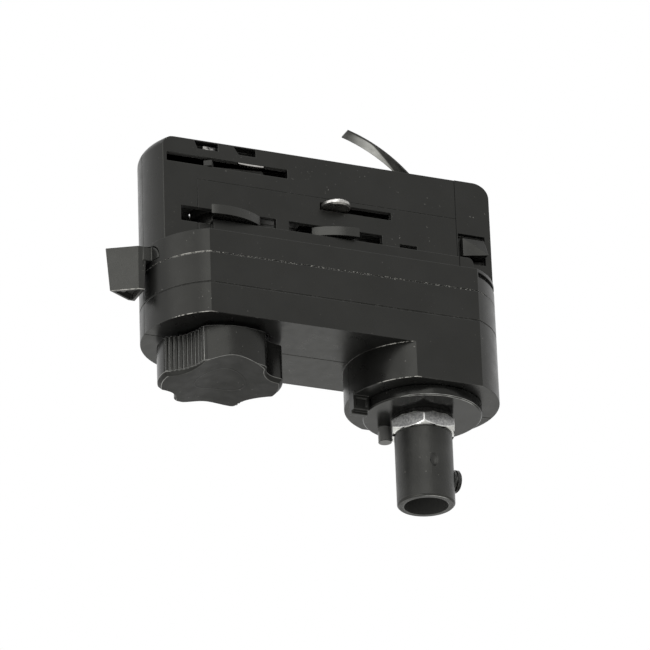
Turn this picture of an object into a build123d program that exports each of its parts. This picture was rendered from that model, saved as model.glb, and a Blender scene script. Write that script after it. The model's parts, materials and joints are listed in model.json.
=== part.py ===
from build123d import *
import math
import os

# Track light adapter: an insert that locks into a mains track, a case that hangs under the
# track's lips, a lock lever, a circuit selector knob and a tubular stem that carries the lamp.
# Millimetres, +Z up. The origin is where the stem's axis meets the seat plane, which is the
# face that lies against the track. The front of the adapter faces -Y, the lever end is at -X.

# Clearances
fit_gap = 0.05
play = 0.3
seam_gap = 0.1

# Body
axis_spacing = 56.4
end_radius = 20.2
body_width = 36.0
body_wall = 1.8
seat_wall = 0.8
upper_depth = 6.4
lower_depth = 23.3
boss_depth = 33.3
floor_wall = 1.8
parting_y = 0.5
seam_line_depth = 14.9
seam_line_width = 0.3
seam_line_cut = 0.2
groove_height = 1.4
groove_cut = 1.1

# Insert
insert_width = 17.9
insert_height = 29.5
insert_wall = 1.55
insert_end_step = 0.2
insert_end_fillet = 2.8
roof_wall = 1.8
bearing_plate_top = 1.2
bearing_boss_radius = 4.4
rotor_spacing = 29.9
shelf_thickness = 1.0
lead_opening_left = 49.4
lead_opening_right = 61.4
lead_opening_half = 5.0

# Side cover and key plinth on the front face, end cap at the right; x is counted from the knob axis
cover_left = -8.5
cover_top = 18.2
cover_thickness = 0.8
cover_gap = 0.08
plinth_left = -4.7
plinth_right = 68.5
plinth_top = 6.9
plinth_out = 1.05
plinth_corner = 1.5
cap_seam = 64.5
cap_rise = 0.1
cap_corner_fillet = 4.0
cap_wall = 1.8

# Slots: half lengths are counted from the rotor axis that they serve
contact_slot_half = 16.8
contact_slot_height = 2.5
contact_slot_drop = 4.65
third_slot_half = 11.8
neutral_slot_low = 14.85
neutral_slot_high = 17.0
neutral_slot_left = -4.2
neutral_slot_right = 15.9
cam_slot_half = 13.15
cam_slot_low = 5.8
cam_slot_high = 10.1
vent_left = 48.0
vent_right = 52.9
vent_top = 8.35
notch_height = 2.1
notch_rim = 0.35
notch_depth = 2.6
first_notch = (-9.0, -8.2, -2.5)
second_notch = (1.9, 3.3, 8.0)

# Lock mechanism
sleeve_radius = 6.0
sleeve_top = 10.6
cam_hub_gap = 0.4
cam_heel = (-6.2, 3.6)
cam_crest = (0.5, 3.85)
cam_toe = (8.5, 0.6)
neutral_cam_heel = (5.6, 2.7)
neutral_cam_crest = (0.0, 2.1)
neutral_cam_toe = (-6.4, -0.9)
lever_arm_height = 3.8
lever_arm_width = 8.6
lever_hub_radius = 8.5
lever_travel = 90.0
lever_skirt_half = 20.5
lever_skirt_play = 0.6
lever_corner = 3.4
lever_gap = 0.18
handle_tip = 30.7
handle_shoulder = 23.35
handle_inner = 21.0
handle_height = 11.9
handle_wall = 1.3
handle_hollow = 1.6
handle_draft = 2.5
handle_post = 0.8
handle_post_x = 26.0
sleeve_key_width = 10.2
rotor_key_width = 7.8

# Gear sectors: equal, so the neutral rotor turns as far as the lever, the other way
gear_teeth = 26
gear_drop = 3.1
gear_thickness = 3.0
gear_backlash = 0.24
gear_sector_from = -14.0
gear_sector_to = 104.0
gear_web = 5.0
gear_mesh_step = 7.5
pressure_angle = 20.0
tooth_above = 0.8
tooth_below = 1.1
tooth_foot = 0.4
drive_hub_radius = 7.5
neutral_hub_radius = 6.5

# Rotors and contacts
drum_drop = 2.9
pivot_radius = 2.5
pivot_length = 1.7
rotor_neck_radius = 5.0
phase_reach = 4.25
phase_width = 5.0
phase_thickness = 1.0
neutral_reach = 4.55
neutral_width = 7.8
neutral_thickness = 1.5
neutral_edge = 0.4
blade_root = 3.2
guard_angle = -121.6
guard_out = 1.55
guard_width = 2.2
guard_height = 1.55
guard_lift = 0.2
leaf_thickness = 0.4
leaf_left = -6.0
leaf_step = 3.3
leaf_right = 10.3
leaf_hang = 0.45
leaf_rise = 0.7
leaf_tab_right = -2.8
leaf_tab_rise = 1.0
drum_key_cap = 1.0

# Selector knob and shaft
knob_long = 16.1
knob_short = 14.9
knob_turn = -5.0
knob_height = 10.5
knob_gap = 1.5
knob_collar_radius = 11.0
knob_edge = 1.0
knob_corner = 1.5
grip_radius = 11.0
grip_depth_radius = 12.6
grip_angle = -148.0
hollow_radius = 6.2
hollow_depth_radius = 13.3
hollow_angle = -45.0
saddle_depth = 2.3
saddle_half = 13.0
saddle_angle = 83.0
rib_radius = 0.42
rib_count = 10
rib_pitch = 1.28
rib_shift = -0.5
shaft_radius = 4.0
shaft_key = 5.4
shaft_shoulder_radius = 6.2
shaft_shoulder_height = 1.6
shaft_foot_rise = 3.8

# Catch; x is counted from the knob axis
catch_left = 66.2
catch_width = 6.2
catch_low = 7.84
catch_height = 5.16
catch_out = 2.3
catch_back = 4.4
catch_shoulder = 6.15
catch_lug = 1.6
window_beside = 1.3
window_margin = 0.15
window_below = 2.04
window_above = 1.1
spring_depth = 3.0
spring_radius = 1.7
spring_wire = 0.3
spring_turns = 4
spring_pocket = 2.2

# Earth spring
earth_root_x = 1.4
earth_root_rise = 0.1
earth_tip_out = 20.3
earth_tip_rise = 13.5
earth_bow = 1.9
earth_width = 4.0
earth_thickness = 0.5
earth_foot = 2.6
earth_foot_lean = 0.4
earth_slot = 3.4

# Stem
nipple_radius = 5.0
nipple_bore = 3.6
nipple_rise = 6.7
nipple_engage = 5.1
disc_radius = 15.5
disc_thickness = 2.8
disc_edge = 0.3
peg_radius = 1.75
peg_drop = 4.2
peg_x = -6.95
peg_y = 8.65
tab_left = -20.4
tab_right = -15.9
tab_depth = 2.9
tab_drop = 4.0
tab_inset = 0.35
tab_rim = 0.8
tab_step_depth = 1.5
tab_step_drop = 0.8
washer_radius = 7.4
washer_thickness = 1.2
nut_width = 16.0
nut_height = 3.8
nut_turn = 8.2
nut_rim_height = 0.8
nut_rim_width = 1.2
inner_washer_radius = 8.0
inner_washer_thickness = 1.0
tube_radius = 7.53
tube_bore = 5.7
tube_length = 19.5
tube_bore_depth = 13.9
tube_chamfer = 0.45
clamp_screw_radius = 3.0
clamp_screw_rise = 7.9
clamp_screw_out = 9.3
clamp_screw_chamfer = 0.4
clamp_socket_radius = 1.6
clamp_socket_depth = 2.0
dimple_radius = 1.5
dimple_stretch = 1.7
dimple_depth = 0.5
dimple_rise = 10.0
dimple_turn = -5.0

# Fasteners and terminals; screw places are counted from the knob axis
screw_radius = 1.1
screw_tip = 2.0
screw_hole_tip = 1.5
screw_head_radius = 1.7
screw_head_height = 1.0
screw_sink = 1.3
screw_slot = 0.6
screw_boss_radius = 2.5
case_boss_radius = 3.0
case_boss_rise = 2.5
boss_below_slot = 2.85
insert_screw_x = 15.8
insert_screw_right_x = 51.5
insert_screw_right_z = 13.0
case_screw_x = 16.0
case_screw_right_x = 43.0
terminal_left = 21.0
terminal_right = 38.0
terminal_half_width = 7.0
terminal_height = 7.9
terminal_hole_radius = 1.4
terminal_hole_rise = 2.95
terminal_screw_radius = 1.5
terminal_screw_lift = 0.6
terminal_screw_sink = 0.4
terminal_count = 3

# Places and sizes worked out from those above
knob_x = -axis_spacing
rotor_x = knob_x + rotor_spacing
cap_x = knob_x + cap_seam
reach = 2 * axis_spacing + 4 * end_radius
face_half = insert_width / 2
room_half = face_half - insert_wall
face_y = -face_half
side_y = body_width / 2
roof_z = insert_height - roof_wall
notch_ceiling = insert_height - notch_rim
notch_floor = notch_ceiling - notch_height
case_floor = -lower_depth + floor_wall
boss_floor = -boss_depth + floor_wall
contact_slot_high = insert_height - contact_slot_drop
contact_slot_low = contact_slot_high - contact_slot_height
cam_low = plinth_top + play
cam_high = cam_slot_high - play
cam_hub_radius = room_half - cam_hub_gap
lever_top = -seat_wall - lever_gap
lever_bottom = lever_top - lever_arm_height
gear_top = lever_bottom - gear_drop
gear_bottom = gear_top - gear_thickness
drum_radius = room_half - leaf_thickness - fit_gap - play
drum_low = sleeve_top + play
drum_high = insert_height - drum_drop
pivot_top = drum_high + pivot_length
shelf_low = neutral_slot_low - 1.5 * shelf_thickness - play
phase_tip = face_half + phase_reach
phase_high_z = contact_slot_low + contact_slot_height / 2
third_z = (neutral_slot_low + neutral_slot_high) / 2
neutral_tip = face_half + neutral_reach
knob_top = -lower_depth - knob_gap
knob_bottom = knob_top - knob_height
shaft_foot = knob_bottom + shaft_foot_rise
disc_bottom = -boss_depth - play - disc_thickness
nut_top = disc_bottom - washer_thickness
nut_bottom = nut_top - nut_height
inner_nut_low = boss_floor + play + inner_washer_thickness
nipple_top = inner_nut_low + nut_height + nipple_rise
nipple_bottom = nut_bottom - nipple_engage
tube_bottom = nut_bottom - tube_length
tube_step = tube_bottom + tube_bore_depth
clamp_screw_z = tube_bottom + clamp_screw_rise
catch_right = catch_left + catch_width
catch_high = catch_low + catch_height
window_low = catch_low - window_below
window_high = catch_high + window_above
insert_screws = ((insert_screw_x, contact_slot_low - boss_below_slot),
                 (insert_screw_right_x, insert_screw_right_z))
case_screws = ((case_screw_x, case_floor + case_boss_rise), (case_screw_right_x, case_floor + case_boss_rise))
terminal_top = case_floor + terminal_height
terminal_hole_z = case_floor + terminal_hole_rise


def box(x_low, x_high, y_low, y_high, z_low, z_high):
    """Block between two corners."""
    middle = ((x_low + x_high) / 2, (y_low + y_high) / 2, (z_low + z_high) / 2)
    return Pos(*middle) * Box(x_high - x_low, y_high - y_low, z_high - z_low)


def rod(radius, z_low, z_high, x=0.0, y=0.0):
    """Upright cylinder."""
    return Pos(x, y, (z_low + z_high) / 2) * Cylinder(radius, z_high - z_low)


def rod_y(radius, y_low, y_high, x, z):
    """Cylinder that lies along Y."""
    return Pos(x, (y_low + y_high) / 2, z) * Rot(90, 0, 0) * Cylinder(radius, y_high - y_low)


def rod_x(radius, x_low, x_high, y, z):
    """Cylinder that lies along X."""
    return Pos((x_low + x_high) / 2, y, z) * Rot(0, 90, 0) * Cylinder(radius, x_high - x_low)


def prism(sketch, z_low, z_high):
    """Plan outline pulled up between two heights."""
    return extrude(Pos(0, 0, z_low) * sketch, z_high - z_low)


def hexagon(width, z_low, z_high, x=0.0, turn=0.0):
    """Hexagonal bar, width across its flats."""
    plan = RegularPolygon(width / math.sqrt(3), 6)
    return prism(Pos(x, 0) * Rot(0, 0, turn) * plan, z_low, z_high)


def sector(radius, start, end):
    """Plan of a slice of a disc, angles in degrees from +X."""
    arc = CenterArc((0, 0), radius, start, end - start)
    return make_face([Line((0, 0), arc @ 0), arc, Line(arc @ 1, (0, 0))])


def outline(radius, width):
    """Two end discs joined, cut off by long flats the width apart."""
    plan = SlotCenterToCenter(axis_spacing, 2 * radius) & Rectangle(reach, width)
    return Pos(knob_x / 2, 0) * plan


def body_outline(inset):
    """Plan of the seat flange and case."""
    return outline(end_radius - inset, body_width - 2 * inset)


def insert_outline(inset):
    """Plan of the insert, whose ends stand a little inside the flange's."""
    return outline(end_radius - insert_end_step - inset, insert_width - 2 * inset)


def front_part(shape):
    """The half of a moulding in front of the parting plane."""
    return shape & box(-reach, reach, -reach, parting_y, -reach, reach)


def rear_part(shape):
    """The half of a moulding behind the parting plane."""
    return shape & box(-reach, reach, parting_y + seam_gap, reach, -reach, reach)


def wall_cut(x_low, x_high, z_low, z_high, front=True, rear=True):
    """Slot through the insert's front wall, its rear wall or both; x is counted from the knob axis."""
    inner = room_half - fit_gap
    outer = face_half + 2 * plinth_out
    cuts = []
    if front:
        cuts.append(box(knob_x + x_low, knob_x + x_high, -outer, -inner, z_low, z_high))
    if rear:
        cuts.append(box(knob_x + x_low, knob_x + x_high, inner, outer, z_low, z_high))
    return cuts


def insert_slots():
    """Every slot through the insert's long walls that a rotor, cam or contact works in."""
    third = rotor_spacing - cam_slot_half
    cuts = wall_cut(-contact_slot_half, contact_slot_half, contact_slot_low, contact_slot_high)
    cuts += wall_cut(-cam_slot_half, plinth_left, cam_slot_low, cam_slot_high)
    cuts += wall_cut(plinth_left, cam_slot_half, plinth_top, cam_slot_high)
    cuts += wall_cut(third, rotor_spacing + cam_slot_half, plinth_top, cam_slot_high)
    cuts += wall_cut(vent_left, vent_right, plinth_top, vent_top, rear=False)
    cuts += wall_cut(rotor_spacing + neutral_slot_left, rotor_spacing + neutral_slot_right,
                     neutral_slot_low, neutral_slot_high, rear=False)
    cuts += wall_cut(-third_slot_half, third_slot_half, neutral_slot_low, neutral_slot_high, front=False)
    return cuts


def top_notches():
    """Two pockets in each long wall just under the roof's edge, one flank of each leaning."""
    cuts = []
    for top_x, foot_x, other_x in (first_notch, second_notch):
        face = make_face(Polyline((top_x, notch_ceiling), (foot_x, notch_floor), (other_x, notch_floor),
                                  (other_x, notch_ceiling), close=True))
        notch = extrude(Plane.XZ * face, face_half + 1, both=True)
        core = face_half - notch_depth
        notch -= box(-reach, reach, -core, core, 0, 2 * insert_height)
        cuts.append(Pos(knob_x, 0, 0) * notch)
    return cuts


def key_plinth():
    """Raised strip at the foot of the front face, which keeps the adapter the right way round."""
    length = plinth_right - plinth_left
    plan = make_face(Polyline((0, 0), (length, 0), (length, plinth_top), (0, plinth_top), close=True))
    plan = fillet(plan.vertices().sort_by(SortBy.DISTANCE, reverse=True)[0], plinth_corner)
    strip = extrude(Plane.XZ * plan, insert_wall + plinth_out)
    strip = Pos(knob_x + plinth_left, face_y + insert_wall, 0) * strip
    return strip - box(cap_x, reach, face_y, 0, -1, plinth_top + 1)


def cover_block(gap, depth):
    """The side cover's plate, or with a gap its pocket, flush with the insert's front face."""
    return box(knob_x + cover_left - gap, cap_x, face_y, face_y + depth, plinth_top, cover_top + gap)


def score_line():
    """Shallow line that carries the side cover's left edge on down to the flange."""
    left = knob_x + cover_left
    return box(left - cover_gap, left + cover_gap, face_y - 1, face_y + 2 * cover_gap, 0, cam_slot_low)


def screw_bosses(places, radius, half_length):
    """Pillars along Y that the case screws run through."""
    return [rod_y(radius, -half_length, half_length, knob_x + x, z) for x, z in places]


def screw_holes(places, half_length, outer_y):
    """Holes for the case screws, with a sunk seat for each head at the rear."""
    holes = []
    for x, z in places:
        start = -half_length + screw_hole_tip
        holes.append(rod_y(screw_radius + fit_gap, start, outer_y + 1, knob_x + x, z))
        holes.append(rod_y(screw_head_radius + fit_gap, outer_y - screw_sink, outer_y + 1, knob_x + x, z))
    return holes


def end_groove():
    """Groove under the seat flange round the end at the stem."""
    top = -seat_wall - 2 * fit_gap
    ring = prism(body_outline(-1.0) - body_outline(groove_cut), top - groove_height, top)
    start = math.sqrt(end_radius ** 2 - side_y ** 2) + groove_cut / 3
    return ring & box(start, reach, -reach, reach, -reach, 0)


def corner_off(angle, top, radius):
    """What rounds the upper front corner of the lever's skirt, and of the slot round it."""
    corner = box(lever_hub_radius, reach, -radius, 1, top - radius, top + 1)
    corner -= rod_x(radius, 0, reach, -radius, top - radius)
    return Rot(0, 0, angle) * corner


def lever_slot():
    """Room for the lever's arm and skirt to swing from the end round to the rear."""
    half = lever_skirt_half + lever_skirt_play
    top = lever_top + lever_gap
    swing = prism(sector(reach, 180 - lever_travel - half, 180 + half), lever_bottom - lever_gap, top)
    swing -= corner_off(180 + half, top, lever_corner)
    return Pos(knob_x, 0, 0) * swing & box(-reach, rotor_x, -reach, reach, -reach, reach)


def insulating_shelf():
    """Shelf inside the insert between the lock's cams and the live contacts."""
    shelf = prism(insert_outline(insert_wall - fit_gap), shelf_low, shelf_low + shelf_thickness)
    shelf = shelf & box(-reach, cap_x - insert_wall, -reach, reach, 0, reach)
    for x in (knob_x, rotor_x):
        shelf -= rod(drum_radius + play, 0, insert_height, x)
    return shelf


def upper_body():
    """Seat flange and insert as one moulding, before it is parted into two halves."""
    shell = prism(insert_outline(0), 0, insert_height) & box(-reach, cap_x, -reach, reach, 0, reach)
    top_end = shell.edges().group_by(Axis.Z)[-1].sort_by(Axis.X)[0]
    shell = fillet(top_end, insert_end_fillet)
    room = prism(insert_outline(insert_wall), bearing_plate_top, roof_z)
    shell -= room & box(-reach, cap_x - insert_wall, -reach, reach, 0, reach)
    shell += prism(body_outline(0), -upper_depth, 0)
    shell -= prism(body_outline(body_wall), -upper_depth, -seat_wall)
    shell -= cover_block(cover_gap, cover_thickness + cover_gap)
    shell += key_plinth()
    shell += insulating_shelf()
    shell += screw_bosses(insert_screws, screw_boss_radius, room_half)
    for x in (knob_x, rotor_x):
        shell += rod(bearing_boss_radius, drum_high + play, roof_z, x)
    for x, radius in ((knob_x, sleeve_radius), (rotor_x, rotor_neck_radius)):
        shell -= rod(radius + fit_gap, -seat_wall - 1, bearing_plate_top + 1, x)
        shell -= rod(pivot_radius + fit_gap, drum_high, pivot_top + play, x)
    shell -= insert_slots()
    shell -= top_notches()
    shell -= screw_holes(insert_screws, room_half, face_half)
    shell -= box(knob_x + lead_opening_left, knob_x + lead_opening_right,
                 -lead_opening_half, lead_opening_half,
                 -seat_wall - 1, bearing_plate_top + 1)
    shell -= box(earth_root_x - earth_slot / 2, earth_root_x + earth_slot / 2, -earth_width / 2 - play,
                 earth_width / 2 + play, roof_z - 1, insert_height + 1)
    shell -= score_line()
    shell -= end_groove()
    shell -= lever_slot()
    return shell


def side_cover():
    """Thin plate in the front face, pierced by the slots that cross it."""
    plate = cover_block(0, cover_thickness)
    return plate - insert_slots()


def end_cap():
    """Cap on the stem end of the insert, with a guide and a window for each catch tongue."""
    top = insert_height + cap_rise
    cap = prism(insert_outline(0), 0, top) & box(cap_x, reach, -reach, reach, 0, reach)
    top_end = cap.edges().group_by(Axis.Z)[-1].sort_by(Axis.X)[-1]
    cap = fillet(top_end, cap_corner_fillet)
    room = prism(insert_outline(cap_wall), window_high + cap_wall, top - cap_wall)
    cap -= room & box(cap_x + cap_wall, reach, -reach, reach, 0, reach)
    low, high = catch_low - fit_gap, catch_high + fit_gap
    lip = catch_shoulder + fit_gap
    left = knob_x + catch_left - fit_gap
    cap -= box(left, knob_x + catch_right + fit_gap, -face_half, face_half, low, high)
    cap -= box(cap_x - 1, left, -lip, lip, low, high)
    for y_low, y_high in ((-face_half - 1, -room_half), (room_half, face_half + 1)):
        right = knob_x + catch_right + window_margin
        cap -= box(left - window_beside, right, y_low, y_high, window_low, window_high)
    return cap


def stop_tab():
    """Tab on the boss's rim that the stem's travel ends at, with a sunk panel on its front."""
    low, high = -boss_depth - tab_drop, -boss_depth
    front = parting_y - tab_depth
    tab = box(tab_left, tab_right, front, parting_y, low, high + 1)
    tab += box(tab_left, tab_right, parting_y - tab_step_depth, parting_y, low - tab_step_drop, high)
    panel = box(tab_left + tab_rim, tab_right - tab_rim, front - 1, front + tab_inset,
                low + tab_rim, high - tab_rim)
    return tab - panel


def lower_case():
    """Case under the seat flange with the round stem boss, before it is parted."""
    top = -upper_depth - seam_gap
    boss_plan = Circle(end_radius) & Rectangle(reach, body_width)
    case = prism(body_outline(0), -lower_depth, top) + prism(boss_plan, -boss_depth, -lower_depth)
    case -= prism(body_outline(body_wall), case_floor, top)
    inner_boss = Circle(end_radius - body_wall) & Rectangle(reach, body_width - 2 * body_wall)
    case -= prism(inner_boss, boss_floor, case_floor)
    case += screw_bosses(case_screws, case_boss_radius, side_y - body_wall)
    case -= rod(shaft_radius + fit_gap, -lower_depth - 1, case_floor + 1, knob_x)
    case -= rod(nipple_radius + fit_gap, -boss_depth - 1, boss_floor + 1)
    case -= screw_holes(case_screws, side_y - body_wall, side_y)
    seam = body_outline(-1.0) - body_outline(seam_line_cut)
    half = seam_line_width / 2
    case -= prism(seam, -seam_line_depth - half, -seam_line_depth + half)
    return case + stop_tab()


def handle_plan():
    """Plan of the lever's handle, a blunt wedge that points away from the case."""
    half = lever_arm_width / 2
    return make_face(Polyline((-handle_inner, -half), (-handle_shoulder, -half), (-handle_tip, 0),
                              (-handle_shoulder, half), (-handle_inner, half), close=True))


def lock_lever():
    """Lever: hub on the cam's sleeve, skirt that closes the slot, pointed handle outside the case."""
    half = lever_arm_width / 2
    lever = rod(lever_hub_radius, lever_bottom, lever_top)
    skirt = sector(end_radius - fit_gap, 180 - lever_skirt_half, 180 + lever_skirt_half)
    lever += prism(skirt, lever_bottom, lever_top)
    lever -= corner_off(180 + lever_skirt_half, lever_top, lever_corner)
    lever += box(-handle_inner - 1, 0, -half, half, lever_bottom, lever_top)
    foot = lever_top - handle_height
    handle = extrude(Pos(0, 0, lever_top) * handle_plan(), -handle_height, taper=handle_draft)
    room = offset(handle_plan(), -handle_wall, kind=Kind.INTERSECTION)
    handle -= prism(room, foot, foot + handle_hollow)
    handle += rod(handle_post, foot + handle_hollow / 3, foot + handle_hollow + 1, -handle_post_x)
    lever += handle
    lever -= hexagon(sleeve_key_width + 2 * fit_gap, lever_bottom - 1, lever_top + 1)
    return Pos(knob_x, 0, 0) * lever


def cam_wings(heel, crest, toe):
    """Two opposite wings for the track's lips; each point is x and how far out of the face."""
    first, middle, last = ((x, -face_half - out) for x, out in (heel, crest, toe))
    arc = ThreePointArc(first, middle, last)
    plan = make_face([Line((0, 0), first), arc, Line(last, (0, 0))])
    wing = prism(plan, cam_low, cam_high)
    return wing + Rot(0, 0, 180) * wing


def lock_cam():
    """Cam with its sleeve, which turns on the selector shaft."""
    cam = hexagon(sleeve_key_width, gear_bottom, lever_top)
    cam += rod(sleeve_radius, lever_top, bearing_plate_top + play)
    cam += rod(cam_hub_radius, bearing_plate_top + play, sleeve_top)
    cam += cam_wings(cam_heel, cam_crest, cam_toe)
    cam -= rod(shaft_radius + fit_gap, gear_bottom - 1, sleeve_top + 1)
    return Pos(knob_x, 0, 0) * cam


def tooth_plan(pitch_radius, module):
    """Plan of one gear tooth that points along +X, with involute flanks."""
    base = pitch_radius * math.cos(math.radians(pressure_angle))
    root = pitch_radius - tooth_below * module
    tip = pitch_radius + tooth_above * module
    half_tooth = (math.pi * module / 2 - gear_backlash) / 2 / pitch_radius

    def half_angle(radius):
        """Half the tooth's angle at a radius outside the base circle."""
        def involute(r):
            roll = math.acos(base / r)
            return math.tan(roll) - roll
        return half_tooth + involute(pitch_radius) - involute(radius)

    flank = []
    for step in range(4):
        radius = max(root, base) + (tip - max(root, base)) * step / 3
        flank.append((radius, half_angle(radius)))
    inner = root - tooth_foot * module
    points = [(inner, flank[0][1])] + flank
    upper = [(r * math.cos(a), r * math.sin(a)) for r, a in points]
    lower = [(x, -y) for x, y in reversed(upper)]
    return make_face(Polyline(*upper, *lower, close=True)), root


def gear_sector(first_angle, start, end, hub_radius, hub_top, key_width):
    """Toothed sector on a hub; first_angle is where a tooth stands at the sector's start."""
    module = rotor_spacing / gear_teeth
    tooth, root = tooth_plan(rotor_spacing / 2, module)
    plan = sector(root, start, end)
    pitch = 360 / gear_teeth
    count = int((end - first_angle) // pitch) + 1
    for number in range(count):
        plan += Rot(0, 0, first_angle + number * pitch) * tooth
    gear = prism(plan, gear_bottom, gear_top) + rod(hub_radius, gear_bottom, hub_top)
    return gear - hexagon(key_width + 2 * fit_gap, gear_bottom - 1, hub_top + 1)


def drive_gear():
    """Gear sector keyed on the cam's sleeve, under the lever."""
    gear = gear_sector(-360 / gear_teeth, gear_sector_from - gear_web, gear_sector_to, drive_hub_radius,
                       lever_bottom, sleeve_key_width)
    return Pos(knob_x, 0, 0) * gear


def neutral_gear():
    """Gear sector on the neutral rotor, in mesh with the drive gear."""
    pitch = 360 / gear_teeth
    start = 180 - gear_sector_to
    first = 180 - gear_mesh_step * pitch
    gear = gear_sector(first, start - gear_web, 180 - gear_sector_from, neutral_hub_radius, lever_top,
                       rotor_key_width)
    return Pos(rotor_x, 0, 0) * gear


def blade(tip, width, thickness, z, angle):
    """Contact blade with a rounded tip that sticks out of its drum."""
    half = width / 2
    body = box(blade_root, tip - half, -half, half, z - thickness / 2, z + thickness / 2)
    body += rod(half, z - thickness / 2, z + thickness / 2, tip - half)
    return Rot(0, 0, angle) * body


def contact_drum():
    """Insulating drum that the selector shaft turns, with a seat for each phase contact."""
    drum = rod(drum_radius, drum_low, drum_high) + rod(pivot_radius, drum_high, pivot_top)
    guard_low = contact_slot_low + guard_lift
    guard = box(0, face_half + guard_out, -guard_width / 2, guard_width / 2,
                guard_low, guard_low + guard_height)
    drum += Rot(0, 0, guard_angle) * guard
    drum -= blade(phase_tip, phase_width, phase_thickness, phase_high_z, 0)
    drum -= blade(phase_tip, phase_width, phase_thickness, third_z, 90)
    side = shaft_key + 2 * fit_gap
    drum -= box(-side / 2, side / 2, -side / 2, side / 2, drum_low - 1, drum_high - drum_key_cap)
    return Pos(knob_x, 0, 0) * drum


def phase_contact(z, angle):
    """Phase blade seated in the drum, clear of the shaft's key."""
    key = shaft_key / 2 + 2 * fit_gap
    part = blade(phase_tip, phase_width, phase_thickness, z, angle)
    return Pos(knob_x, 0, 0) * (part - box(-key, key, -key, key, drum_low, drum_high))


def neutral_rotor():
    """Rotor beside the knob's axis, with cam wings of its own and a seat for the neutral contact."""
    rotor = hexagon(rotor_key_width, gear_bottom, lever_top)
    rotor += rod(rotor_neck_radius, lever_top, bearing_plate_top + play)
    rotor += rod(drum_radius, bearing_plate_top + play, drum_high)
    rotor += rod(pivot_radius, drum_high, pivot_top)
    rotor += cam_wings(neutral_cam_heel, neutral_cam_crest, neutral_cam_toe)
    rotor -= blade(neutral_tip, neutral_width, neutral_thickness, third_z, -90)
    return Pos(rotor_x, 0, 0) * rotor


def neutral_contact():
    """Silver blade that meets the neutral conductor, with softened edges."""
    part = blade(neutral_tip, neutral_width, neutral_thickness, third_z, -90)
    tip = part.faces().sort_by(Axis.Y)[0]
    part = chamfer(tip.edges().filter_by(GeomType.CIRCLE), neutral_edge)
    return Pos(rotor_x, 0, 0) * part


def phase_leaf():
    """Flat supply leaf along the inside of the front wall, seen through the slot and one notch."""
    low = contact_slot_high - leaf_hang
    mid = contact_slot_high + leaf_rise
    high = roof_z - fit_gap
    tab = notch_floor + leaf_tab_rise
    plan = Polyline((leaf_left, mid), (leaf_step, mid), (leaf_step, low), (leaf_right, low), (leaf_right, high),
                    (leaf_tab_right, high), (leaf_tab_right, tab), (leaf_left, tab), close=True)
    strip = extrude(Plane.XZ * make_face(plan), leaf_thickness)
    return Pos(knob_x, -room_half + leaf_thickness + fit_gap, 0) * strip


def knob_saddle():
    """Smooth trough across the knob's foot, so its two grip lobes reach lower than the others."""
    low, high = knob_bottom - 1, knob_bottom + saddle_depth
    crest = Spline((-saddle_half, knob_bottom), (0, high), (saddle_half, knob_bottom),
                   tangents=((1, 0), (1, 0)))
    sides = Polyline((saddle_half, knob_bottom), (saddle_half, low), (-saddle_half, low),
                     (-saddle_half, knob_bottom))
    trough = extrude(Plane.YZ * make_face([crest, sides]), 2 * knob_long, both=True)
    return Rot(0, 0, saddle_angle) * trough


def selector_knob():
    """Lobed knob with two ribbed grips, two plain hollows and a saddle across its foot."""
    plan = Rot(0, 0, knob_turn) * Ellipse(knob_long, knob_short)
    for side in (0, 180):
        centre = grip_depth_radius + grip_radius
        plan -= Rot(0, 0, grip_angle + side) * Pos(centre, 0) * Circle(grip_radius)
        centre = hollow_depth_radius + hollow_radius
        plan -= Rot(0, 0, hollow_angle + side) * Pos(centre, 0) * Circle(hollow_radius)
    plan = fillet(plan.vertices(), knob_corner)
    knob = prism(plan, knob_bottom, knob_top)
    knob = chamfer(knob.edges().group_by(Axis.Z)[0], knob_edge)
    for side in (0, 180):
        for number in range(rib_count):
            along = (number - (rib_count - 1) / 2 + rib_shift) * rib_pitch / grip_radius
            x = grip_depth_radius + grip_radius * (1 - math.cos(along))
            y = grip_radius * math.sin(along)
            rib = rod(rib_radius, knob_bottom + knob_edge, knob_top, x, y)
            knob += Rot(0, 0, grip_angle + side) * rib
    knob -= knob_saddle()
    knob += rod(knob_collar_radius, knob_top, -lower_depth - play)
    side = shaft_key + 2 * fit_gap
    knob -= box(-side / 2, side / 2, -side / 2, side / 2, shaft_foot - fit_gap, -lower_depth)
    return Pos(knob_x, 0, 0) * knob


def selector_shaft():
    """Shaft from the knob up through the cam's sleeve to the contact drum, squared at both ends."""
    knob_face = -lower_depth - play
    shaft = rod(shaft_radius, knob_face, drum_low)
    shaft += rod(shaft_shoulder_radius, case_floor + play, case_floor + play + shaft_shoulder_height)
    half = shaft_key / 2
    shaft += box(-half, half, -half, half, shaft_foot, knob_face)
    shaft += box(-half, half, -half, half, drum_low, drum_high - drum_key_cap - fit_gap)
    return Pos(knob_x, 0, 0) * shaft


def catch_front():
    """Sprung tongue; its face swells outwards towards one lower corner, a shoulder keeps it in."""
    left, right = knob_x + catch_left, knob_x + catch_right
    block = box(left, right, face_y - catch_out, -catch_back / 2, catch_low, catch_high)
    lean_up = math.degrees(math.atan(catch_out / catch_height))
    lean_side = math.degrees(math.atan(catch_out / catch_width))
    size = 4 * max(catch_width, catch_height)
    away = Box(size, size, size, align=(Align.CENTER, Align.MAX, Align.CENTER))
    block -= Pos(left, face_y, catch_high) * Rot(-lean_up, 0, 0) * away
    block -= Pos(left, face_y, catch_high) * Rot(0, 0, -lean_side) * away
    block += box(left - catch_lug, left, -catch_shoulder, -catch_back / 2, catch_low, catch_high)
    middle_x, middle_z = (left + right) / 2, (catch_low + catch_high) / 2
    return block - rod_y(spring_pocket, -catch_back / 2 - spring_depth, 0, middle_x, middle_z)


def catch_rear():
    """The same tongue, turned round to face the rear."""
    return mirror(catch_front(), Plane.XZ)


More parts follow.
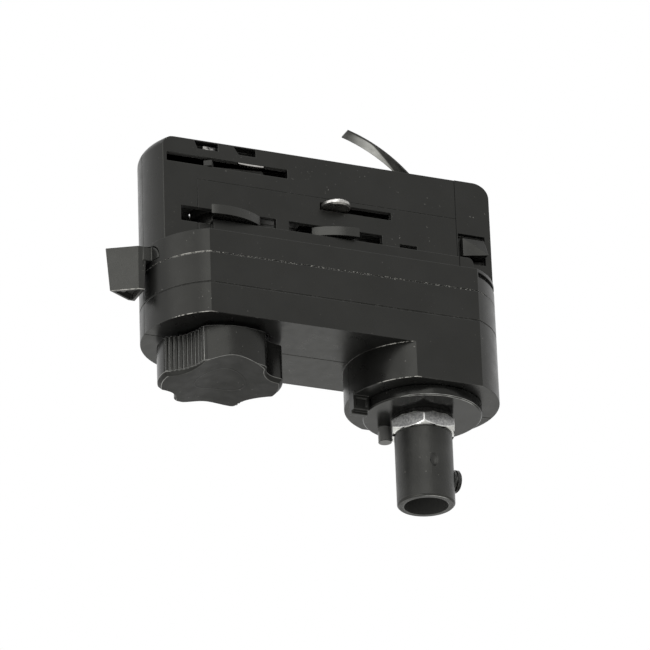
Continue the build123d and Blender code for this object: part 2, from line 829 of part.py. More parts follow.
def catch_spring():
    """Coil spring that pushes the two tongues apart."""
    half = catch_back / 2 + spring_depth - spring_wire - fit_gap
    pitch = 2 * half / spring_turns
    path = Helix(pitch, 2 * half, spring_radius)
    wire = sweep(Plane(path @ 0, z_dir=path % 0) * RegularPolygon(spring_wire, 6), path)
    middle_x = knob_x + (catch_left + catch_right) / 2
    return Pos(middle_x, half, (catch_low + catch_high) / 2) * Rot(90, 0, 0) * wire


def earth_strip():
    """Bowed leaf on top that earths the adapter against the track, with its foot in the roof."""
    root = Vector(earth_root_x, insert_height + earth_root_rise)
    tip = root + Vector(-earth_tip_out, earth_tip_rise)
    chord = tip - root
    across = Vector(chord.Y, -chord.X).normalized()
    middle = (root + tip) / 2 + across * earth_bow
    foot = root + Vector(earth_foot_lean, -earth_foot)
    plan = trace(Polyline(foot, root) + ThreePointArc(root, middle, tip), earth_thickness)
    return extrude(Plane.XZ * plan, earth_width / 2, both=True)


def stem_disc():
    """Swivel plate under the boss, with its moulded stop peg."""
    disc = rod(disc_radius, disc_bottom, -boss_depth - play)
    disc = chamfer(disc.edges().group_by(Axis.Z)[0], disc_edge)
    disc += rod(peg_radius, disc_bottom - peg_drop, disc_bottom, peg_x, peg_y)
    return disc - rod(nipple_radius, disc_bottom - 1, -boss_depth)


def hollow_nipple():
    """Threaded tube that carries the stem and lets the leads through."""
    return rod(nipple_radius, nipple_bottom, nipple_top) - rod(nipple_bore, nipple_bottom - 1, nipple_top + 1)


def nut(z_low, z_high, turn):
    """Hexagon nut with both rims turned off."""
    body = hexagon(nut_width, z_low, z_high, turn=turn)
    corner = nut_width / math.sqrt(3)
    rim = Pos(0, 0, (z_low + z_high) / 2) * Cylinder(corner, z_high - z_low)
    rim = chamfer(rim.edges().filter_by(GeomType.CIRCLE), nut_rim_height, nut_rim_width)
    return (body & rim) - rod(nipple_radius, z_low - 1, z_high + 1)


def lock_nut():
    """Bright nut that clamps the stem's disc."""
    return nut(nut_bottom, nut_top, nut_turn)


def inner_nut():
    """Nut on the nipple inside the boss."""
    return nut(inner_nut_low, inner_nut_low + nut_height, 0)


def inner_washer():
    """Washer between the boss floor and the inner nut."""
    low, high = boss_floor + play, inner_nut_low
    return rod(inner_washer_radius, low, high) - rod(nipple_radius, low - 1, high + 1)


def stem_washer():
    """Thin washer between the disc and the lock nut."""
    return rod(washer_radius, nut_top, disc_bottom) - rod(nipple_radius, nut_top - 1, disc_bottom + 1)


def stem_tube():
    """Tube that the lamp's arm slides into, with a clamp screw hole and a punched dimple."""
    tube = rod(tube_radius, tube_bottom, nut_bottom)
    tube = chamfer(tube.edges().group_by(Axis.Z)[0], tube_chamfer)
    tube -= rod(tube_bore, tube_bottom - 1, tube_step)
    tube -= rod(nipple_radius, tube_step - 1, nut_bottom + 1)
    tube -= rod_x(clamp_screw_radius + fit_gap, 0, 2 * tube_radius, 0, clamp_screw_z)
    punch = scale(Sphere(dimple_radius), by=(1, 1, dimple_stretch))
    out = -tube_radius - dimple_radius + dimple_depth
    return tube - Rot(0, 0, dimple_turn) * Pos(0, out, tube_bottom + dimple_rise) * punch


def clamp_screw():
    """Grub screw with a hexagon socket, backed off until the tube's bore is free."""
    screw = rod_x(clamp_screw_radius, tube_bore, clamp_screw_out, 0, clamp_screw_z)
    screw = chamfer(screw.edges().filter_by(GeomType.CIRCLE), clamp_screw_chamfer)
    socket = Rot(0, 90, 0) * RegularPolygon(clamp_socket_radius, 6)
    return screw - extrude(Pos(clamp_screw_out, 0, clamp_screw_z) * socket, -clamp_socket_depth)


def rear_screws(places, half_length, outer_y):
    """Slotted screws from the rear that hold a pair of mouldings together."""
    seat = outer_y - screw_sink
    screws = []
    for x, z in places:
        screw = rod_y(screw_radius, -half_length + screw_tip, seat, knob_x + x, z)
        screw += rod_y(screw_head_radius, seat, seat + screw_head_height, knob_x + x, z)
        slot = Box(screw_slot, screw_head_height, 3 * screw_head_radius)
        screws.append(screw - Pos(knob_x + x, seat + screw_head_height, z) * slot)
    return Compound(children=screws)


def terminal_places():
    """Centres of the terminals along the block."""
    step = (terminal_right - terminal_left) / terminal_count
    return [knob_x + terminal_left + step * (number + 0.5) for number in range(terminal_count)]


def terminal_block():
    """Block on the case floor where the leads end."""
    half = terminal_half_width
    block = box(knob_x + terminal_left, knob_x + terminal_right, -half, half, case_floor, terminal_top)
    for x in terminal_places():
        block -= rod_y(terminal_hole_radius, -2 * half, 2 * half, x, terminal_hole_z)
        block -= rod(terminal_screw_radius, terminal_hole_z, terminal_top + 1, x)
    return block


def terminal_screws():
    """One slotted screw for each terminal."""
    top = terminal_top - terminal_screw_sink
    screws = []
    for x in terminal_places():
        screw = rod(terminal_screw_radius, terminal_hole_z + terminal_screw_lift, top, x)
        slot = Box(3 * terminal_screw_radius, screw_slot, screw_head_height)
        screws.append(screw - Pos(x, 0, top) * slot)
    return Compound(children=screws)


def build_nodes():
    """Every piece under its node name."""
    upper, lower = upper_body(), lower_case()
    return {
        "upper_front": front_part(upper),
        "upper_rear": rear_part(upper),
        "side_cover": side_cover(),
        "end_cap": end_cap(),
        "lower_front": front_part(lower),
        "lower_rear": rear_part(lower),
        "lock_lever": lock_lever(),
        "lock_cam": lock_cam(),
        "drive_gear": drive_gear(),
        "neutral_gear": neutral_gear(),
        "neutral_rotor": neutral_rotor(),
        "neutral_contact": neutral_contact(),
        "selector_knob": selector_knob(),
        "selector_shaft": selector_shaft(),
        "contact_drum": contact_drum(),
        "phase_contact_upper": phase_contact(phase_high_z, 0),
        "phase_contact_lower": phase_contact(third_z, 90),
        "phase_leaf": phase_leaf(),
        "catch_front": catch_front(),
        "catch_rear": catch_rear(),
        "catch_spring": catch_spring(),
        "earth_strip": earth_strip(),
        "stem_disc": stem_disc(),
        "stem_washer": stem_washer(),
        "lock_nut": lock_nut(),
        "stem_tube": stem_tube(),
        "clamp_screw": clamp_screw(),
        "hollow_nipple": hollow_nipple(),
        "inner_washer": inner_washer(),
        "inner_nut": inner_nut(),
        "terminal_block": terminal_block(),
        "terminal_screws": terminal_screws(),
        "insert_screws": rear_screws(insert_screws, room_half, face_half),
        "case_screws": rear_screws(case_screws, side_y - body_wall, side_y),
    }


os.makedirs("parts", exist_ok=True)
for name, shape in build_nodes().items():
    export_step(shape, f"parts/{name}.step")
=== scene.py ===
import json
import math

import bmesh
import bpy
from mathutils import Matrix, Vector


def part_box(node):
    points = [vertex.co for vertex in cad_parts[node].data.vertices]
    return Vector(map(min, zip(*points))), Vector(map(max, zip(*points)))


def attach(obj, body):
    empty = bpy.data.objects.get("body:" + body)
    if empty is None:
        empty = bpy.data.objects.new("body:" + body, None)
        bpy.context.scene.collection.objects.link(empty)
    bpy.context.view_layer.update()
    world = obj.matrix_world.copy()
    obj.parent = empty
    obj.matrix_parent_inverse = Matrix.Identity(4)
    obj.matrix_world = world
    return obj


# Looks for the track light adapter. Metres, in the part's own frame: the origin is where the
# stem's axis meets the seat plane, +Z up, the front faces -Y, the lever's end is at -X.

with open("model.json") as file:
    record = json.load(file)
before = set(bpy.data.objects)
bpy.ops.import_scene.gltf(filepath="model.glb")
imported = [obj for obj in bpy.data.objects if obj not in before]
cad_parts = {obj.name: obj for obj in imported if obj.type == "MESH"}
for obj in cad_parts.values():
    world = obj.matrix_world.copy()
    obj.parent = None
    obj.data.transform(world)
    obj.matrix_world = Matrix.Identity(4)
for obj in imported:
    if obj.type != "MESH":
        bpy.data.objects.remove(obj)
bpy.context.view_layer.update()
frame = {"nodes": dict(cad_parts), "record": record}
scene = bpy.context.scene
nodes_of = frame["nodes"]

# Places on the part
knob_x = -0.0564  # upright axis of the selector knob
cap_x = 0.0081  # joint between the insert and its end cap
seam_z = -0.00645  # joint between the seat flange and the lower case
case_z = -0.0233  # underside of the lower case
boss_z = -0.0333  # underside of the stem boss
corner_offset = 0.0125  # the front's corners lie this far left of the knob's and the stem's axes
slot_top = 0.02485  # upper wall of the insert's long slot
notch_floor = 0.02705  # floor of the insert's left top notch
handle_x = -0.0824  # axis of the post inside the lever's handle
handle_right = -0.0775  # all that lies left of this belongs to the handle
handle_foot = -0.01288  # lower rim of the handle
hollow_z = -0.01128  # floor of the hollow that opens in the handle's foot
disc_z = -0.0364  # lower face of the stem disc
peg_x, peg_y = -0.00695, 0.00865  # the disc's stop peg
tube_foot = -0.0609  # lower end of the stem tube
m6_pitch = 0.001  # thread of the clamp screw

plastic_ior = 1.48


def grey(value):
    """Neutral colour with a trace of warmth."""
    return (value, value, 0.96 * value, 1.0)


def rgb(red, green, blue):
    return (red, green, blue, 1.0)


warm_white = rgb(1.0, 1.0, 0.93)
dust_tone = rgb(0.30, 0.29, 0.27)
rubbed_tone = rgb(0.30, 0.29, 0.28)
# Painted highlight colour for the seam's burr, the stretches by the front corners and the handle's
# rim
edge_highlight_tone = rgb(0.46, 0.45, 0.42)


class Tree:
    """A material's node tree with short calls to add and join nodes."""

    def __init__(self, name):
        self.material = bpy.data.materials.new(name)
        self.material.use_nodes = True
        self.tree = self.material.node_tree
        self.shader = self.tree.nodes["Principled BSDF"]
        own = self.add("ShaderNodeTexCoord").outputs
        self.place = own["Object"]
        self.facing = own["Normal"]

    def add(self, kind, **values):
        node = self.tree.nodes.new(kind)
        for key, value in values.items():
            setattr(node, key, value)
        return node

    def join(self, out, socket):
        self.tree.links.new(out, socket)

    def fill(self, socket, value):
        """Sets a plain value on a socket, or joins an output to it."""
        if isinstance(value, (float, int, tuple)):
            socket.default_value = value
        else:
            self.join(value, socket)

    def set(self, name, value):
        self.fill(self.shader.inputs[name], value)

    def noise(self, scale, detail=2.0, rough=0.5):
        node = self.add("ShaderNodeTexNoise")
        node.inputs["Scale"].default_value = scale
        node.inputs["Detail"].default_value = detail
        node.inputs["Roughness"].default_value = rough
        self.join(self.place, node.inputs["Vector"])
        return node.outputs["Fac"]

    def axes(self, vector):
        node = self.add("ShaderNodeSeparateXYZ")
        self.join(vector, node.inputs[0])
        return node.outputs[0], node.outputs[1], node.outputs[2]

    def mix(self, factor, first, second):
        node = self.add("ShaderNodeMix", data_type="RGBA")
        self.fill(node.inputs[6], first)
        self.fill(node.inputs[7], second)
        self.join(factor, node.inputs[0])
        return node.outputs[2]

    def math(self, operation, first, second=0.0):
        node = self.add("ShaderNodeMath", operation=operation)
        self.fill(node.inputs[0], first)
        self.fill(node.inputs[1], second)
        return node.outputs[0]

    def times(self, first, *others):
        for other in others:
            first = self.math("MULTIPLY", first, other)
        return first

    def most(self, first, *others):
        for other in others:
            first = self.math("MAXIMUM", first, other)
        return first

    def span(self, out, low, high, to_low, to_high):
        node = self.add("ShaderNodeMapRange")
        ends = {"From Min": low, "From Max": high, "To Min": to_low, "To Max": to_high}
        for key, value in ends.items():
            node.inputs[key].default_value = value
        self.join(out, node.inputs["Value"])
        return node.outputs["Result"]

    def rise(self, out, low, high, least=0.0):
        """The least value up to low, 1 from high on."""
        return self.span(out, low, high, least, 1.0)

    def fall(self, out, low, high, least=0.0):
        """1 up to low, the least value from high on."""
        return self.span(out, low, high, 1.0, least)

    def patches(self, scale, low, high, detail=2.0, rough=0.5, least=0.0):
        """Cloudy mask: the least value where the noise is under low, 1 where it is over high."""
        return self.rise(self.noise(scale, detail, rough), low, high, least)

    def near(self, out, middle, reach, soft):
        """1 within reach of a value, down to 0 over a soft margin."""
        away = self.math("ABSOLUTE", self.math("SUBTRACT", out, middle))
        return self.fall(away, reach, reach + soft)

    def from_axis(self, x, y):
        """Distance from an upright axis."""
        across, along, _ = self.axes(self.place)
        across = self.math("POWER", self.math("SUBTRACT", across, x), 2.0)
        along = self.math("POWER", self.math("SUBTRACT", along, y), 2.0)
        return self.math("SQRT", self.math("ADD", across, along))

    def outward(self, x):
        """How far a wall looks away from the upright axis at x, 0; below 0 where it faces it."""
        across, along, _ = self.axes(self.place)
        turn_x, turn_y, _ = self.axes(self.facing)
        across = self.times(self.math("SUBTRACT", across, x), turn_x)
        return self.math("ADD", across, self.times(along, turn_y))

    def uneven(self, low, high, scale=300.0):
        """Slowly changing value between two bounds, for roughness."""
        return self.span(self.noise(scale, 3.0), 0.3, 0.7, low, high)

    def bump(self, heights):
        """Bumps from (height, distance, strength) triples, one on top of the other."""
        normal = None
        for height, distance, strength in heights:
            node = self.add("ShaderNodeBump")
            node.inputs["Distance"].default_value = distance
            node.inputs["Strength"].default_value = strength
            self.join(height, node.inputs["Height"])
            if normal is not None:
                self.join(normal, node.inputs["Normal"])
            normal = node.outputs["Normal"]
        self.join(normal, self.shader.inputs["Normal"])


def moulded(t, dark, light, dust=0.4):
    """Mottled tone of moulded plastic with a few specks of dust."""
    base = t.mix(t.patches(90.0, 0.35, 0.65, detail=4.0), grey(dark), grey(light))
    speck = t.patches(1500.0, 0.74, 0.765, detail=1.0)
    patch = t.patches(160.0, 0.48, 0.64)
    return t.mix(t.times(speck, patch, dust), base, dust_tone)


def gloss(t, rough, level):
    """Gloss of plastic: roughness from an output, one level of reflection all over."""
    t.set("Roughness", rough)
    t.set("IOR", plastic_ior)
    t.set("Specular IOR Level", level)
    t.set("Specular Tint", warm_white)


def grain(t, scale=2600.0, depth=0.00002, marks=()):
    """Slow waves of the moulded face, its fine grain and further marks."""
    t.bump([(t.noise(120.0, 2.0), 0.00012, 0.25), (t.noise(scale, 2.0, 0.6), depth, 0.6), *marks])


def plastic(name, dark, light, rough, level):
    """Plain moulded plastic."""
    t = Tree(name)
    t.set("Base Color", moulded(t, dark, light))
    gloss(t, t.uneven(*rough), level)
    grain(t)
    return t.material


def painted_seam_shade(t, base):
    """Thin line of painted shade where the end cap meets the insert, standing in for the shade in
    the joint: it neither mirrors nor scatters.
    """
    x, _, z = t.axes(t.place)
    seam = t.times(t.near(x, cap_x, 0.00010, 0.00005), t.rise(z, 0.0, 0.0002))
    t.set("Metallic", seam)
    return t.mix(seam, base, grey(0.012))


def knob_lip(t, x, lie):
    """Where the knob's lower rim gets a painted highlight, and which part of its edges is the open
    outer one.
    """
    lobe_radius, ribs_right = 0.0148, knob_x - 0.0075
    lower = t.times(t.fall(lie, -0.6, -0.35), t.patches(900.0, 0.3, 0.6, least=0.4))
    on_lobes = t.rise(t.from_axis(knob_x, 0.0), lobe_radius, lobe_radius + 0.0002)
    past_ribs = t.rise(x, ribs_right, ribs_right + 0.0005)
    dimmer_right = t.fall(x, knob_x + 0.004, knob_x + 0.010, 0.25)
    outer = t.times(t.most(on_lobes, past_ribs), dimmer_right)
    return t.times(lower, outer), outer


def handle_rim(t, x, y, z, out_y):
    """Painted highlight in patches on the front half of the rim round the handle's foot."""
    at_foot = t.near(z, handle_foot, 0.0003, 0.0001)
    on_handle = t.fall(x, handle_right, handle_right + 0.0001)
    front = t.times(t.fall(y, -0.0002, 0.0), t.fall(out_y, -0.1, 0.0))
    return t.times(at_foot, on_handle, front, t.patches(700.0, 0.35, 0.55, least=0.3))


def corner_shine(t, x, y, z, seam):
    """Bright stretches of the seam and the lower rims by the front's corners."""
    reach, soft = 0.003, 0.003
    rims = t.most(*(t.near(z, rim_z, 0.0005, 0.0002) for rim_z in (case_z, boss_z)))
    left = t.times(t.most(rims, seam), t.near(x, knob_x - corner_offset, reach, soft))
    right = t.times(rims, t.near(x, -corner_offset, reach, soft))
    front = t.fall(y, -0.012, -0.010)
    return t.times(t.most(left, right), front, t.patches(1300.0, 0.40, 0.56, rough=0.6))


def worn_and_highlit_edge(name, dark, light, level, wear, upright=0.008, lip=0.0):
    """Rounded edge of a plastic piece: upright ones plain, level ones rubbed and painted lighter
    as a highlight, a ragged burr on the seam painted bright as a highlight, a painted highlight by
    the corners and, for a lip, a painted highlight all along the lower ones."""
    t = Tree(name)
    x, y, z = t.axes(t.place)
    _, out_y, lie = t.axes(t.facing)
    level_edge = t.rise(t.math("ABSOLUTE", lie), 0.2, 0.45)
    rubbed = t.times(t.span(t.noise(1100.0, 3.0, 0.7), 0.54, 0.68, 0.0, wear), level_edge)
    # Level edges are painted lighter than upright ones: a painted highlight
    base = t.mix(level_edge, grey(upright), moulded(t, dark, light, 0.2))
    base = t.mix(rubbed, base, rubbed_tone)
    rough = t.uneven(0.22, 0.34)
    if lip:
        # Painted highlight along the knob's lower rim
        lower, outer = knob_lip(t, x, lie)
        base = t.mix(lower, base, grey(lip))
        rough = t.most(rough, t.times(t.math("SUBTRACT", 1.0, outer), 0.7))
    seam = t.times(t.near(z, seam_z, 0.0004, 0.0002), t.near(y, 0.0, 0.03, 0.001))
    burr_highlight = t.times(seam, t.patches(2400.0, 0.55, 0.62, rough=0.7))
    # Painted highlights: the handle's rim, the burr on the seam and the stretches by the corners
    # are lightened
    bright = t.most(handle_rim(t, x, y, z, out_y), burr_highlight, corner_shine(t, x, y, z, seam))
    t.set("Base Color", painted_seam_shade(t, t.mix(bright, base, edge_highlight_tone)))
    gloss(t, rough, level)
    t.bump([(t.noise(1400.0, 2.0, 0.6), 0.00004, 0.6)])
    return t.material


def housing():
    """Black case plastic, painted paler inside the insert and on its slots' lying walls: painted
    light standing in for the light that reaches in there."""
    t = Tree("housing_look")
    x, y, z = t.axes(t.place)
    low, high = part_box("upper_front")[0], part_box("end_cap")[1]
    skin, room_half, wall_half = 0.0010, 0.0076, 0.0088
    within = t.times(
        t.rise(x, low[0] + skin, low[0] + skin + 0.0002),
        t.fall(x, high[0] - skin - 0.0002, high[0] - skin),
        t.rise(z, 0.0, 0.001), t.fall(z, high[2] - skin, high[2] - skin + 0.0002))
    facing_in = t.fall(t.outward((low[0] + high[0]) / 2), 0.0005, 0.0010)
    room = t.times(within, t.near(y, 0.0, room_half, 0.0002), facing_in)
    in_wall = t.times(t.near(y, 0.0, wall_half, 0.0001), t.fall(x, cap_x - 0.0002, cap_x - 0.0001))
    lying = t.rise(t.math("ABSOLUTE", t.axes(t.facing)[2]), 0.5, 0.8)
    slots = t.times(within, in_wall, lying)
    # Painted light: the slots' lying walls and the room inside the insert are made paler
    base = t.mix(slots, moulded(t, 0.0055, 0.0090), grey(0.06))
    base = t.mix(room, base, grey(0.11))
    # Painted shade line at the end cap's joint
    t.set("Base Color", painted_seam_shade(t, base))
    gloss(t, t.uneven(0.26, 0.36), 0.34)
    grain(t)
    return t.material


def mechanism():
    """Lever, cams, gears and rear catch; the hollow in the handle's foot is painted paler as
    painted light, with the post in it painted pale as a painted highlight."""
    t = Tree("mechanism_look")
    x, _, z = t.axes(t.place)
    post_radius = 0.0009
    on_handle = t.fall(x, handle_x + 0.0055, handle_x + 0.0060)
    looks_down = t.fall(t.axes(t.facing)[2], -0.9, -0.7)
    hollow_floor = t.times(t.near(z, hollow_z, 0.0004, 0.0002), looks_down)
    walls = t.times(t.fall(t.outward(handle_x), -0.0008, -0.0002),
                    t.fall(z, hollow_z, hollow_z + 0.0002))
    hollow = t.times(t.most(hollow_floor, walls), on_handle)
    post = t.times(t.fall(t.from_axis(handle_x, 0.0), post_radius, post_radius + 0.0001), hollow)
    # Painted light in the hollow, painted highlight on the post
    base = t.mix(hollow, moulded(t, 0.006, 0.011), grey(0.05))
    t.set("Base Color", t.mix(post, base, grey(0.35)))
    gloss(t, t.uneven(0.22, 0.32), 0.48)
    grain(t, marks=[(t.noise(500.0, 3.0), 0.0001, 0.15)])
    return t.material


def knob():
    """Knob: glossy walls, duller foot with a faint ring about the axis."""
    t = Tree("knob_look")
    ring_radius = 0.0065
    foot = t.fall(t.axes(t.facing)[2], -0.75, -0.5)
    t.set("Base Color", moulded(t, 0.0060, 0.0095))
    gloss(t, t.math("ADD", t.uneven(0.20, 0.30), t.times(foot, 0.32)), 0.30)
    ring = t.times(t.near(t.from_axis(knob_x, 0.0), ring_radius, 0.00005, 0.0002), foot)
    grain(t, marks=[(ring, 0.00012, 0.5)])
    return t.material


def disc():
    """Turning disc: glossy face, its stop peg painted paler as painted light."""
    t = Tree("disc_look")
    peg_reach = 0.0018
    peg = t.times(t.fall(t.from_axis(peg_x, peg_y), peg_reach, peg_reach + 0.0001),
                  t.fall(t.axes(t.place)[2], disc_z - 0.0002, disc_z - 0.0001))
    # Painted light on the stop peg
    t.set("Base Color", t.mix(peg, moulded(t, 0.005, 0.008), grey(0.12)))
    gloss(t, t.uneven(0.16, 0.24), 0.26)
    grain(t, depth=0.000008)
    return t.material


def painted_tube():
    """Satin paint with fine speckle; the bore is painted paler as painted light."""
    t = Tree("stem_paint_look")
    bore_radius = 0.0060
    bore = t.fall(t.from_axis(0.0, 0.0), bore_radius, bore_radius + 0.0003)
    # Painted light in the bore
    t.set("Base Color", t.mix(bore, moulded(t, 0.012, 0.024), grey(0.045)))
    gloss(t, t.uneven(0.33, 0.43), 0.34)
    grain(t, 1700.0, 0.0001)
    return t.material


def round_rim(name, rim_z, y_full, y_none, value):
    """Rounded edges of a round piece, with a painted highlight in patches along the front of its
    lower rim.
    """
    t = Tree(name)
    _, y, z = t.axes(t.place)
    front = t.times(t.fall(y, y_full, y_none), t.near(z, rim_z, 0.0003, 0.0001))
    patchy_highlight = t.times(front, t.patches(600.0, 0.3, 0.6, least=0.35))
    t.set("Base Color", t.mix(patchy_highlight, moulded(t, 0.012, 0.022, 0.2), grey(value)))
    gloss(t, t.uneven(0.2, 0.3), 0.40)
    grain(t, 1400.0)
    return t.material


def metal(name, dark, light, rough, depth=0.00001, thread=None, under=None):
    """Plated metal: speckled plate, tarnish, fine grain and uneven gloss. A thread is given as the
    number of its axis and its pitch; under is the colour of chamfers that look down, partly
    brighter turned metal and partly a painted highlight."""
    t = Tree(name)
    base = t.mix(t.patches(1900.0, 0.36, 0.64), dark, light)
    tarnish = t.span(t.noise(220.0, 4.0), 0.5, 0.72, 0.0, 0.3)
    base = t.mix(tarnish, base, rgb(*(0.35 * c for c in dark[:3])))
    if under:
        # Chamfers that look down: partly turned metal, partly a painted highlight
        base = t.mix(t.fall(t.axes(t.facing)[2], -0.30, -0.12), base, under)
    t.set("Base Color", base)
    t.set("Metallic", 1.0)
    t.set("Roughness", t.uneven(*rough, scale=700.0))
    marks = [(t.noise(2200.0, 3.0, 0.6), depth, 0.6)]
    if thread:
        axis, pitch = thread
        turn = t.times(t.axes(t.place)[axis], 2.0 * math.pi / pitch)
        marks.append((t.math("SINE", turn), 0.4 * pitch, 0.7))
    t.bump(marks)
    return t.material


def strip():
    """Springy earth strip: a painted highlight where it bows out, painted shade at its tip and on
    its near side by the root. The place along and across it is counted from 0 to 1."""
    t = Tree("strip_look")
    low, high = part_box("earth_strip")
    x, y, _ = t.axes(t.place)
    along = t.rise(x, low[0], high[0])
    across = t.rise(y, low[1], high[1])
    slope = t.math("SUBTRACT", across, t.times(t.math("SUBTRACT", along, 0.32), 2.3))
    bright = t.times(t.rise(slope, -0.06, 0.08), t.rise(along, 0.05, 0.34),
                     t.near(across, 0.5, 0.44, 0.03))
    cloud = t.patches(260.0, 0.35, 0.65, detail=3.0)
    strip_shade_tone = t.mix(cloud, rgb(0.03, 0.03, 0.028), rgb(0.075, 0.075, 0.07))
    strip_highlight_tone = t.mix(cloud, rgb(0.34, 0.34, 0.32), rgb(0.50, 0.50, 0.48))
    # Painted highlight and painted shade on the strip
    t.set("Base Color", t.mix(bright, strip_shade_tone, strip_highlight_tone))
    t.set("Metallic", 1.0)
    t.set("Roughness", t.uneven(0.16, 0.3, scale=700.0))
    t.bump([(t.noise(1500.0, 3.0, 0.6), 0.00001, 0.6)])
    return t.material


# Looks by material slot, or by node where one piece of a slot looks different
looks = {
    "housing_plastic": housing(),
    "knob_plastic": knob(),
    "mechanism_plastic": mechanism(),
    "disc_plastic": disc(),
    # Rotor plastic is made paler than the case: painted light on the parts seen inside the slots
    "rotor_plastic": plastic("rotor_look", 0.03, 0.05, rough=(0.5, 0.65), level=0.25),
    "catch_front": plastic("catch_look", 0.006, 0.011, rough=(0.3, 0.4), level=0.32),
    "stem_paint": painted_tube(),
    "bright_zinc": metal("zinc_look", rgb(0.26, 0.26, 0.26), rgb(0.48, 0.48, 0.47),
                         rough=(0.28, 0.42), under=rgb(0.80, 0.80, 0.78)),
    "screw_steel": metal("screw_look", rgb(0.30, 0.30, 0.29), rgb(0.50, 0.50, 0.48),
                         rough=(0.25, 0.4)),
    "dark_steel": metal("dark_steel_look", rgb(0.03, 0.03, 0.03), rgb(0.09, 0.09, 0.085),
                        rough=(0.25, 0.4), thread=(0, m6_pitch)),
    "phase_leaf": plastic("leaf_look", 0.12, 0.20, rough=(0.4, 0.6), level=0.5),
    "stem_washer": metal("washer_look", rgb(0.03, 0.03, 0.03), rgb(0.08, 0.08, 0.075),
                         rough=(0.3, 0.45)),
    "contact_silver": metal("silver_look", rgb(0.36, 0.35, 0.33), rgb(0.50, 0.49, 0.47),
                            rough=(0.24, 0.36), depth=0.000004),
    "strip_steel": strip(),
    "spring_steel": metal("spring_look", rgb(0.35, 0.35, 0.35), rgb(0.55, 0.55, 0.54),
                          rough=(0.2, 0.35)),
}
edge_looks = {
    "housing_plastic": worn_and_highlit_edge("housing_edge", 0.016, 0.030, level=0.40, wear=0.15),
    # The knob's upright and lip tones are painted highlights on its rib edges and lower rim
    "knob_plastic": worn_and_highlit_edge("knob_edge", 0.030, 0.050, level=0.48, wear=0.15, upright=0.20,
                              lip=0.24),
    "mechanism_plastic": worn_and_highlit_edge("mechanism_edge", 0.010, 0.018, level=0.48, wear=0.06),
    "disc_plastic": round_rim("disc_edge", disc_z, y_full=-0.0128, y_none=-0.0112, value=0.36),
    "bright_zinc": metal("zinc_edge", rgb(0.70, 0.70, 0.68), rgb(0.90, 0.90, 0.88),
                         rough=(0.28, 0.36)),
    "stem_paint": round_rim("stem_paint_edge", tube_foot, y_full=-0.0070, y_none=-0.0058,
                            value=0.34),
}
# Width of the rounding, for the pieces whose edges are seen
edge_width = {
    "upper_front": 0.00012, "upper_rear": 0.00012, "side_cover": 0.00008, "end_cap": 0.00012,
    "lower_front": 0.00014, "lower_rear": 0.00014, "lock_lever": 0.00016, "lock_cam": 0.00012,
    "neutral_rotor": 0.00012, "contact_drum": 0.0001, "catch_front": 0.0001, "catch_rear": 0.0001,
    "selector_knob": 0.0001, "lock_nut": 0.0002, "stem_disc": 0.0001, "stem_tube": 0.00012,
    "earth_strip": 0.00006, "phase_contact_upper": 0.00008, "phase_contact_lower": 0.00008,
}


def soften(obj, width, has_edge_look):
    """Joins the CAD mesh's split points and rounds its sharp edges a little, so that they catch
    the light."""
    weld = obj.modifiers.new("weld", "WELD")
    weld.merge_threshold = 0.000002
    flat = obj.modifiers.new("flat", "DECIMATE")
    flat.decimate_type = "DISSOLVE"
    flat.angle_limit = math.radians(0.6)
    round_off = obj.modifiers.new("round_off", "BEVEL")
    round_off.width = width
    round_off.segments = 2
    round_off.limit_method = "ANGLE"
    round_off.angle_limit = math.radians(32)
    round_off.use_clamp_overlap = False
    round_off.material = 1 if has_edge_look else -1
    even = obj.modifiers.new("even", "WEIGHTED_NORMAL")
    even.keep_sharp = True


slot_of = {part["node"]: part["material_slot"] for part in frame["record"]["subparts"]}
for node, obj in nodes_of.items():
    slot = slot_of[node]
    obj.data.materials.clear()
    obj.data.materials.append(looks.get(node) or looks[slot])
    if node in edge_width:
        if slot in edge_looks:
            obj.data.materials.append(edge_looks[slot])
        soften(obj, edge_width[node], slot in edge_looks)


def place_object(name, data):
    obj = bpy.data.objects.new(name, data)
    scene.collection.objects.link(obj)
    return obj


def contact_lip(name, look, x_span, y_span, z_span):
    """Springy metal lip with a bellied lower side and round corners, seen under a slot's edge."""
    steps, fullness = 14, 0.4
    (x_low, x_high), (y_low, y_high), (z_low, z_high) = x_span, y_span, z_span
    middle, half_length = (x_low + x_high) / 2, (x_high - x_low) / 2
    turns = [math.pi * k / steps for k in range(steps + 1)]
    drops = [(z_high - z_low) * max(math.sin(turn), 0.0) ** fullness for turn in turns]
    belly = [(middle - half_length * math.cos(turn), z_high - drop)
             for turn, drop in zip(turns, drops)]
    shape = bmesh.new()
    near_side = [shape.verts.new((x, y_low, z)) for x, z in belly]
    far_side = [shape.verts.new((x, y_high, z)) for x, z in belly]
    shape.faces.new(near_side)
    shape.faces.new(list(reversed(far_side)))
    for k in range(len(belly)):
        after = (k + 1) % len(belly)
        shape.faces.new((near_side[k], far_side[k], far_side[after], near_side[after]))
    bmesh.ops.recalc_face_normals(shape, faces=shape.faces)
    mesh = bpy.data.meshes.new(name)
    shape.to_mesh(mesh)
    shape.free()
    mesh.materials.append(look)
    piece = place_object(name, mesh)
    rim = piece.modifiers.new("rim", "BEVEL")
    rim.width = 0.00006
    rim.segments = 2
    rim.limit_method = "ANGLE"
    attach(piece, "housing")


flecked = metal("fleck_look", rgb(0.05, 0.05, 0.05), rgb(0.45, 0.44, 0.42), rough=(0.25, 0.4))
lip_back = -0.0073
contact_lip("contact_lip", looks["contact_silver"], x_span=(knob_x + 0.0031, knob_x + 0.0103),
            y_span=(-0.00885, lip_back), z_span=(slot_top - 0.0005, slot_top))
contact_lip("notch_lip", flecked, x_span=(knob_x - 0.0062, knob_x - 0.0027),
            y_span=(-0.0077, lip_back), z_span=(notch_floor, notch_floor + 0.0016))

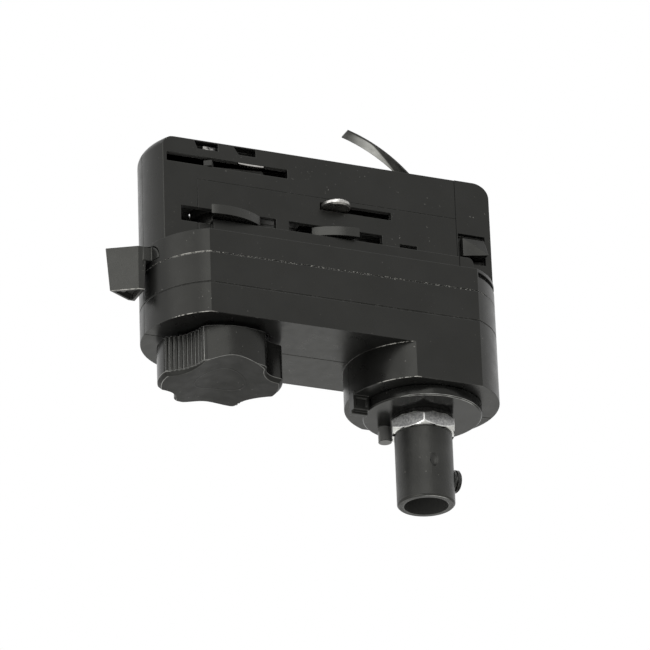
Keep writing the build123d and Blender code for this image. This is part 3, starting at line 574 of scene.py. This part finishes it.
# Camera: looks up at the adapter from the front left, fitted to the photograph
eye = Vector((-0.50270, -1.08075, -0.55232))
pitch, yaw, roll = (math.radians(v) for v in (24.52, 23.776, -2.087))
forward = Vector((math.sin(yaw) * math.cos(pitch), math.cos(yaw) * math.cos(pitch),
                  math.sin(pitch)))
level = Vector((math.cos(yaw), -math.sin(yaw), 0.0))
upright = level.cross(forward)
right = level * math.cos(roll) + upright * math.sin(roll)
up = -level * math.sin(roll) + upright * math.cos(roll)
camera_data = bpy.data.cameras.new("camera")
camera_data.sensor_width = 36.0
camera_data.lens = 277.73
camera_data.clip_start = 0.05
camera_data.clip_end = 20.0
camera = place_object("camera", camera_data)
camera.matrix_world = Matrix.Translation(eye) @ Matrix((right, up, -forward)).transposed().to_4x4()
scene.camera = camera

# Floor, pale, far below the adapter and below every camera
floor_mesh = bpy.data.meshes.new("floor")
half, floor_z = 6.7, -1.6
corners = [(-half, -half, floor_z), (half, -half, floor_z), (half, half, floor_z),
           (-half, half, floor_z)]
floor_mesh.from_pydata(corners, [], [(0, 1, 2, 3)])
floor = place_object("floor", floor_mesh)
floor_look = Tree("floor_look")
floor_look.set("Base Color", floor_look.mix(floor_look.noise(8.0), grey(0.78), grey(0.82)))
floor_look.set("Roughness", 0.8)
floor_mesh.materials.append(floor_look.material)

# World: plain white to the camera, in reflections and through glass, dimmer as light
world = bpy.data.worlds.new("world")
scene.world = world
world.use_nodes = True
tree = world.node_tree
tree.nodes.clear()
path = tree.nodes.new("ShaderNodeLightPath")
choose = tree.nodes.new("ShaderNodeMixShader")
as_light, as_seen = 0.7, 1.0
for socket, strength in ((choose.inputs[1], as_light), (choose.inputs[2], as_seen)):
    background = tree.nodes.new("ShaderNodeBackground")
    background.inputs["Color"].default_value = (1.0, 1.0, 1.0, 1.0)
    background.inputs["Strength"].default_value = strength
    tree.links.new(background.outputs[0], socket)
seen = path.outputs["Is Camera Ray"]
for ray in ("Is Glossy Ray", "Is Transmission Ray"):
    either = tree.nodes.new("ShaderNodeMath")
    either.operation = "ADD"
    either.use_clamp = True
    tree.links.new(seen, either.inputs[0])
    tree.links.new(path.outputs[ray], either.inputs[1])
    seen = either.outputs[0]
tree.links.new(seen, choose.inputs["Fac"])
out = tree.nodes.new("ShaderNodeOutputWorld")
tree.links.new(choose.outputs[0], out.inputs["Surface"])

# Soft lamps, aimed at the middle of the adapter: name, place, width, height, power
middle = Vector((-0.03, 0.0, -0.01))
for name, place, width, height, power in (
        ("left", (-0.95, -0.25, 0.3), 0.7, 0.7, 1.6),
        ("top", (0.2, 0.45, 0.85), 0.5, 0.5, 4.0),
        ("front", (-0.46, -1.0, 0.48), 0.9, 0.9, 4.5),
        ("low_left", (-0.35, -0.13, -0.62), 0.16, 0.16, 1.2),
        ("table", (0.2, 0.8, -0.68), 1.0, 0.8, 1.0)):
    data = bpy.data.lights.new(name, "AREA")
    data.shape = "RECTANGLE"
    data.size = width
    data.size_y = height
    data.energy = power
    lamp = place_object(name, data)
    aim = (middle - Vector(place)).to_track_quat("-Z", "Y").to_matrix().to_4x4()
    lamp.matrix_world = Matrix.Translation(place) @ aim
    lamp.visible_camera = False

scene.view_settings.view_transform = "Standard"
